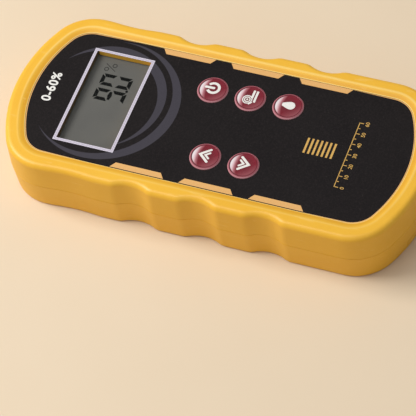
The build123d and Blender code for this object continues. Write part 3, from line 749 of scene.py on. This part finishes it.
def lettering(name, words, x, y, z, height, weight, spacing=1.0):
    """Words as a layer of ink, centred on a point, with its top at z."""
    clear_selection()
    bpy.ops.object.text_add()
    piece = bpy.context.object
    piece.data.body = words
    piece.data.align_x = "CENTER"
    piece.data.align_y = "CENTER"
    piece.data.size = 1.0
    piece.data.offset = weight
    piece.data.space_character = spacing
    piece.data.extrude = 0.5
    bpy.ops.object.convert(target="MESH")
    piece = bpy.context.object
    piece.name = name
    piece.data.name = name
    corners = [v.co.y for v in piece.data.vertices]
    scale = height / (max(corners) - min(corners))
    centre_y = (max(corners) + min(corners)) / 2 * scale
    place = Matrix.Translation(Vector((x, y - centre_y, z - INK)) * MM)
    size = Matrix.Diagonal((scale * MM, scale * MM, 2 * INK * MM, 1))
    piece.data.transform(place @ size)
    reopen(piece)
    bpy.ops.mesh.remove_doubles(threshold=0.0005 * MM)
    face_outwards()
    return done()


def settle(piece, body, material):
    """Coat a finished piece and let it ride on its body."""
    coat(piece, material)
    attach(piece, body)


# ------------------------------------------------------------ printed marks

peach_ink = printed_ink("peach_edge_ink", tone(230, 180, 114), tone(222, 168, 100))
white_ink = printed_ink("white_ink", tone(240, 238, 232), tone(226, 224, 218), 0.34)
gold_ink = printed_ink("gold_ink", tone(226, 190, 96), tone(196, 142, 84))

# three patches down each side; the left ones stop short of the sheet's edge
patch_pitch = 27.3
patch_length = 21.25
patch_depth = 2.35
patch_slant = 1.7
left_margin = 0.35
patch_x = -(sheet_half_width - left_margin) + patch_depth / 2
patch_start = display.y - 13.4
patch_y = patch_start - patch_length / 2

patch = printed_bar(patch_x, patch_y, sheet_ink_top, patch_depth, patch_length, patch_slant)
patches = [patch]
for n in range(3):
    down = -n * patch_pitch
    if n:
        patches.append(copy_of(patch, (0, down, 0)))
    patches.append(copy_of(patch, (left_margin, down, 0), 180.0, (0, patch_y)))
settle(join("edge_patches", patches), "housing", peach_ink)


def edge_line(name, width, taper):
    """Thin line along the sheet's edge at head and tail, tapering down the sides."""
    start_x = sheet_half_width - width / 2
    clear_selection()
    bpy.ops.mesh.primitive_plane_add(
        size=MM,
        location=(start_x * MM, corner_centre_y * MM, sheet_top * MM),
        rotation=(math.radians(90), 0, 0),
    )
    bpy.context.object.scale = (width, 2 * INK, 1)
    piece = begin(name)
    bpy.ops.mesh.extrude_region_move(TRANSFORM_OT_translate={"value": (0, -taper * MM, 0)})
    pick(piece, lambda p: p.y < corner_centre_y - 1 and p.x < start_x)
    bpy.ops.transform.translate(value=(0.9 * width * MM, 0, 0))
    pick(piece, lambda p: p.y > corner_centre_y - 0.01, "faces")
    bpy.ops.mesh.spin(
        steps=20,
        angle=-corner_sweep,
        center=(corner_centre_x * MM, corner_centre_y * MM, 0),
        axis=(0, 0, 1),
    )
    bpy.ops.mesh.spin(
        steps=24,
        angle=-(math.pi / 2 - corner_sweep),
        center=(0, end_centre_y * MM, 0),
        axis=(0, 0, 1),
    )
    bpy.ops.mesh.select_all(action="SELECT")
    bpy.ops.mesh.remove_doubles(threshold=0.001 * MM)
    done()
    mirror = piece.modifiers.new("halves", "MIRROR")
    mirror.use_axis = (True, True, False)
    mirror.merge_threshold = 0.01 * MM
    apply_all(piece)
    bpy.ops.object.mode_set(mode="EDIT")
    pick(piece, lambda p: abs(p.x) < 0.001, "faces")
    bpy.ops.mesh.delete(type="FACE")
    face_outwards()
    return done()


line = edge_line("edge_line", width=0.34, taper=16.0)
settle(line, "housing", peach_ink)

title_x, title_y = 0.5, display.y + 21.8
title = lettering(
    "range_title",
    "0-60%",
    title_x,
    title_y,
    sheet_ink_top,
    height=3.9,
    weight=0.026,
    spacing=1.1,
)
settle(title, "housing", white_ink)

# stack of seven level bars
level_y = display.y - 80.6
level_pitch, level_width, level_length = 1.75, 7.0, 0.8
level_bars = [printed_bar(0, level_y, sheet_ink_top, level_width, level_length)]
level_bars += [copy_of(level_bars[0], (0, -n * level_pitch, 0)) for n in range(1, 7)]
settle(join("level_bars", level_bars), "housing", gold_ink)

# scale of 0 to 60 under them: long ticks with numbers, short ones between
scale_half, tick_pitch, scale_line = 15, 2.5, 0.3
long_tick, short_tick = 1.6, 1.0
line_y = display.y - 98.0 + long_tick
number_y = line_y - 3.0
ticks = [printed_bar(0, line_y, sheet_ink_top, 2 * scale_half + scale_line, scale_line)]
for tall, places in ((long_tick, range(0, 13, 2)), (short_tick, range(1, 12, 2))):
    tick = printed_bar(-scale_half, line_y - tall / 2, sheet_ink_top, scale_line, tall)
    ticks += [copy_of(tick, (tick_pitch * n, 0, 0)) for n in places]
    bpy.data.objects.remove(tick)
for n in range(7):
    ticks.append(
        lettering(
            "tick_number",
            str(10 * n),
            2 * tick_pitch * n - scale_half,
            number_y,
            sheet_ink_top,
            height=1.5,
            weight=0.008,
        )
    )
settle(join("printed_scale", ticks), "housing", gold_ink)

# --------------------------------------------------------------- the display


def pointed_bar(width, length):
    """The cross bar of a digit, pointed at both ends."""
    clear_selection()
    bpy.ops.mesh.primitive_circle_add(
        vertices=6, radius=MM, fill_type="NGON", location=(0, 0, glass_ink_top * MM)
    )
    bpy.context.object.scale = (width / 2, width / 2 / math.cos(math.radians(30)), 1)
    piece = begin("cross_bar")
    reach = length / 2 - width / 2
    pick(piece, lambda p: p.x > 0.01)
    bpy.ops.transform.translate(value=(reach * MM, 0, 0))
    pick(piece, lambda p: p.x < -0.01)
    bpy.ops.transform.translate(value=(-reach * MM, 0, 0))
    thicken_ink()
    return done()


# one digit: seven bars with mitred ends and a small gap at every joint
digit_width = 5.5
digit_height = 12.4
stroke = 1.5
mitre = stroke * 0.72
side_length = digit_height / 2 - 0.9
across_length = digit_width - 1.05
side_bar = printed_bar(0, 0, glass_ink_top, stroke, side_length, mitre)
end_bar = printed_bar(0, 0, glass_ink_top, stroke, across_length, mitre)
cross_bar = pointed_bar(stroke, across_length - 0.35)
out, up = (digit_width - stroke) / 2, (digit_height - stroke) / 2
# each bar's shape, its turn in degrees, and its place across and along the digit
SEGMENTS = {
    "top": (end_bar, -90.0, 0, up),
    "bottom": (end_bar, 90.0, 0, -up),
    "cross": (cross_bar, 0.0, 0, 0),
    "upper right": (side_bar, 180.0, out, digit_height / 4),
    "lower right": (side_bar, 180.0, out, -digit_height / 4),
    "upper left": (side_bar, 0.0, -out, digit_height / 4),
    "lower left": (side_bar, 0.0, -out, -digit_height / 4),
}
NINE = set(SEGMENTS) - {"lower left"}
NOUGHT = set(SEGMENTS) - {"cross"}


def digit(shown, x, y):
    """The switched segments of one digit centred on a point."""
    return [
        copy_of(bar, (x + across, y + along, 0), turn)
        for name, (bar, turn, across, along) in SEGMENTS.items()
        if name in shown
    ]


def decimal_point(x, y, radius):
    """The round switched dot between the digits."""
    clear_selection()
    bpy.ops.mesh.primitive_circle_add(
        vertices=20,
        radius=radius * MM,
        fill_type="NGON",
        location=(x * MM, y * MM, glass_ink_top * MM),
    )
    begin("decimal_point")
    thicken_ink()
    return done()


# the reading, 9.0, with its percent sign beyond it
digit_y = display.y - 0.2
nine_x, point_x, nought_x = 3.95, 7.5, 10.95
point_y, point_radius = digit_y - 5.6, 0.54
lit = digit(NINE, nine_x, digit_y) + digit(NOUGHT, nought_x, digit_y)
for bar in (side_bar, end_bar, cross_bar):
    bpy.data.objects.remove(bar)
lit.append(decimal_point(point_x, point_y, point_radius))
settle(join("display_digits", lit), "housing", lcd_ink("dark_crystal", 1.0))
faint_crystal = lcd_ink("faint_crystal", 0.62)
percent_x, percent_y = 16.9, display.y + 4.3
percent = lettering(
    "display_percent", "%", percent_x, percent_y, glass_ink_top, height=4.6, weight=-0.01
)
settle(percent, "housing", faint_crystal)

# ----------------------------------------------------------------- key marks


def lay_on_crown(piece, key):
    """Drape a flat mark over the key's crown as a thin layer of ink."""
    reopen(piece)
    bpy.ops.mesh.quads_convert_to_tris()
    bpy.ops.mesh.subdivide(number_cuts=2)
    bpy.ops.mesh.normals_make_consistent(inside=False)
    done()
    wrap = piece.modifiers.new("crown", "SHRINKWRAP")
    wrap.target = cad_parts[key + "_key"]
    wrap.wrap_method = "PROJECT"
    wrap.use_project_z = True
    wrap.use_positive_direction = False
    wrap.use_negative_direction = True
    wrap.offset = 0.5 * INK * MM
    solid = piece.modifiers.new("ink", "SOLIDIFY")
    solid.thickness = INK * MM
    solid.offset = 0.0
    apply_all(piece)
    return piece


# height over the crowns at which the marks are drawn before they are draped
mark_z = key_top + 1.0


def disc(x, y, radius, vertices=24):
    """A flat round spot of a key's mark."""
    clear_selection()
    bpy.ops.mesh.primitive_circle_add(
        vertices=vertices,
        radius=radius * MM,
        fill_type="TRIFAN",
        location=(x * MM, y * MM, mark_z * MM),
    )
    begin("disc")
    return done()


def stroke_bar(x, y, width, length, turn=0.0, roundness=0.49):
    """A straight stroke with rounded corners, along Y until it is turned."""
    clear_selection()
    bpy.ops.mesh.primitive_plane_add(size=MM, location=(0, 0, mark_z * MM))
    bpy.context.object.scale = (width, length, 1)
    begin("stroke")
    bpy.ops.mesh.bevel(offset=roundness * width * MM, segments=5, affect="VERTICES")
    piece = done()
    turned = Matrix.Rotation(math.radians(turn), 4, "Z")
    piece.data.transform(Matrix.Translation(Vector((x, y, 0)) * MM) @ turned)
    return piece


def ring(x, y, radius, width, start=0.0, sweep=360.0):
    """A round stroke swept anticlockwise from an angle measured from +X."""
    sliver = 0.02
    clear_selection()
    bpy.ops.mesh.primitive_plane_add(size=MM, location=(radius * MM, 0, mark_z * MM))
    bpy.context.object.scale = (width, sliver, 1)
    piece = begin("ring")
    pick(piece, lambda p: p.y > sliver / 4, "edges")
    bpy.ops.mesh.spin(
        steps=int(sweep / 12), angle=-math.radians(sweep), center=(0, 0, 0), axis=(0, 0, 1)
    )
    if sweep >= 360.0:
        bpy.ops.mesh.select_all(action="SELECT")
        bpy.ops.mesh.remove_doubles(threshold=1.5 * sliver * MM)
    else:
        angles = (0.0, math.radians(sweep))
        tips = [Vector((math.cos(a), math.sin(a))) * radius for a in angles]
        near = width / 2 + 2 * sliver
        pick(piece, lambda p: min((p.to_2d() - tip).length for tip in tips) < near)
        bpy.ops.mesh.bevel(offset=0.22 * width * MM, segments=3, affect="VERTICES")
    done()
    turned = Matrix.Rotation(math.radians(start), 4, "Z")
    piece.data.transform(Matrix.Translation(Vector((x, y, 0)) * MM) @ turned)
    return piece


def chevron(x, tip, way, reach, drop, width):
    """Two slanted strokes that meet in a point; way is 1 for up, -1 for down."""
    arm = math.hypot(reach, drop)
    height = width * arm / reach
    square = drop * width / arm
    clear_selection()
    bpy.ops.mesh.primitive_plane_add(size=MM, location=(reach / 2 * MM, 0, mark_z * MM))
    bpy.context.object.scale = (reach, height, 1)
    piece = begin("chevron")
    pick(piece, lambda p: p.x > reach / 2)
    bpy.ops.transform.translate(value=(0, -way * drop * MM, 0))
    pick(piece, lambda p: p.x > reach / 2 and way * p.y > -drop)
    bpy.ops.transform.translate(value=(square * MM, -way * square * drop / reach * MM, 0))
    pick(piece, lambda p: p.x > reach / 2)
    bpy.ops.mesh.bevel(offset=0.42 * width * MM, segments=4, affect="VERTICES")
    done()
    mirror = piece.modifiers.new("other_arm", "MIRROR")
    mirror.merge_threshold = 0.01 * MM
    apply_all(piece)
    piece.data.transform(Matrix.Translation(Vector((x, tip, 0)) * MM))
    return piece


def chevrons(key, way):
    """A wide chevron with a small one nested inside it."""
    x, y = key_middle[key].x + 0.35, key_middle[key].y
    tip = y + way * 2.0
    return [
        chevron(x, tip, way, reach=2.7, drop=3.28, width=0.95),
        chevron(x, tip - way * 2.0, way, reach=1.2, drop=1.45, width=0.75),
    ]


def power_mark(key):
    """A ring open towards the head with a bar through the opening."""
    x, y = key_middle[key].x + 0.55, key_middle[key].y - 0.1
    radius, stroke_width = 2.25, 1.05
    opening_end, sweep = 124.0, 292.0
    return [
        ring(x, y, radius, stroke_width, opening_end, sweep),
        stroke_bar(x, y + 1.35, stroke_width, 4.15),
    ]


def timber_mark(key):
    """The sawn end of a round log over two planks, with a chock beside it."""
    x, y = key_middle[key].x, key_middle[key].y
    log_x, log_y = x - 1.1, y + 0.75
    plank_width, plank_roundness = 0.85, 0.12
    bark, growth_ring, growth_line, heart = 1.75, 1.05, 0.42, 0.4
    return [
        stroke_bar(x + 0.8, y - 2.05, plank_width, 5.4, 90.0, plank_roundness),
        stroke_bar(x + 1.65, y - 0.75, plank_width, 3.9, 90.0, plank_roundness),
        ring(log_x, log_y, bark, growth_line),
        ring(log_x, log_y, growth_ring, growth_line),
        disc(log_x, log_y, heart),
        stroke_bar(x - 2.5, y - 0.7, 0.7, 1.6, 45.0, 0.2),
    ]


def drop_mark(key):
    """A water drop, point towards the head."""
    x, y = key_middle[key].x + 0.3, key_middle[key].y - 0.9
    radius, pull, spread = 1.75, 1.6, 1.9
    drop = disc(x, y, radius, vertices=32)
    reopen(drop)
    pick(drop, lambda p: p.y > y + 1.6)
    bpy.ops.transform.translate(
        value=(0, pull * MM, 0),
        use_proportional_edit=True,
        proportional_edit_falloff="SHARP",
        proportional_size=spread * MM,
    )
    return [done()]


MARKS = {
    "power": power_mark,
    "species": timber_mark,
    "hold": drop_mark,
    "up": lambda key: chevrons(key, 1),
    "down": lambda key: chevrons(key, -1),
}
for key in KEYS:
    mark = lay_on_crown(join(key + "_mark", MARKS[key](key)), key)
    settle(mark, key + "_key", white_ink)

# ---------------------------------------------------- floor, light, camera

clear_selection()
bpy.ops.mesh.primitive_plane_add(size=3.0, location=(0, 0, 0))
floor = bpy.context.object
floor.name = "studio_floor"
paper = Finish("pale_floor", specular_ior_level=0.25)
fibre = paper.noise(60.0, detail=3.0)
paper_colour = paper.mix(fibre, tone(226, 206, 178), tone(230, 211, 184))
coat(floor, paper.paint(paper_colour, 0.6 + fibre * 0.1))


def softbox(name, direction, distance, size, power, colour=(1.0, 1.0, 1.0)):
    """A square soft light, in metres and watts, that looks at the middle of the case."""
    lamp = bpy.data.lights.new(name, "AREA")
    lamp.shape = "SQUARE"
    lamp.size = size
    lamp.energy = power
    lamp.color = colour
    holder = bpy.data.objects.new(name, lamp)
    bpy.context.scene.collection.objects.link(holder)
    holder.location = Vector(direction).normalized() * distance
    holder.rotation_euler = Vector(direction).to_track_quat("Z", "Y").to_euler()


softbox("key_softbox", (-0.12, 0.9, 0.95), 1.3, size=0.65, power=14.5, colour=(1.0, 0.98, 0.95))
softbox("overhead_softbox", (-0.12, 0.15, 1.0), 1.2, size=0.5, power=2.4)
softbox("side_softbox", (-1.0, -0.35, 0.9), 1.4, size=1.0, power=1.1)

world = bpy.data.worlds.new("studio")
world.use_nodes = True
backdrop = world.node_tree.nodes["Background"].inputs
backdrop["Color"].default_value = (0.95, 0.97, 1.0, 1.0)
backdrop["Strength"].default_value = 0.30
bpy.context.scene.world = world
bpy.context.scene.view_settings.view_transform = "Standard"

camera_target = Vector((-36.5, -9.5, 24.2)) * MM
camera_distance = 0.9802
azimuth = math.radians(-61.07)
elevation = math.radians(53.86)
roll = math.radians(-10.75)
lens = bpy.data.cameras.new("camera")
lens.sensor_width = 36.0
lens.lens = 233.5
lens.clip_start = 0.05
camera = bpy.data.objects.new("camera", lens)
bpy.context.scene.collection.objects.link(camera)
back = Vector(
    (
        math.sin(azimuth) * math.cos(elevation),
        -math.cos(azimuth) * math.cos(elevation),
        math.sin(elevation),
    )
)
camera.rotation_mode = "QUATERNION"
camera.location = camera_target + back * camera_distance
level = (-back).to_track_quat("-Z", "Y").to_matrix().to_4x4()
camera.rotation_quaternion = (level @ Matrix.Rotation(roll, 4, "Z")).to_quaternion()
bpy.context.scene.camera = camera
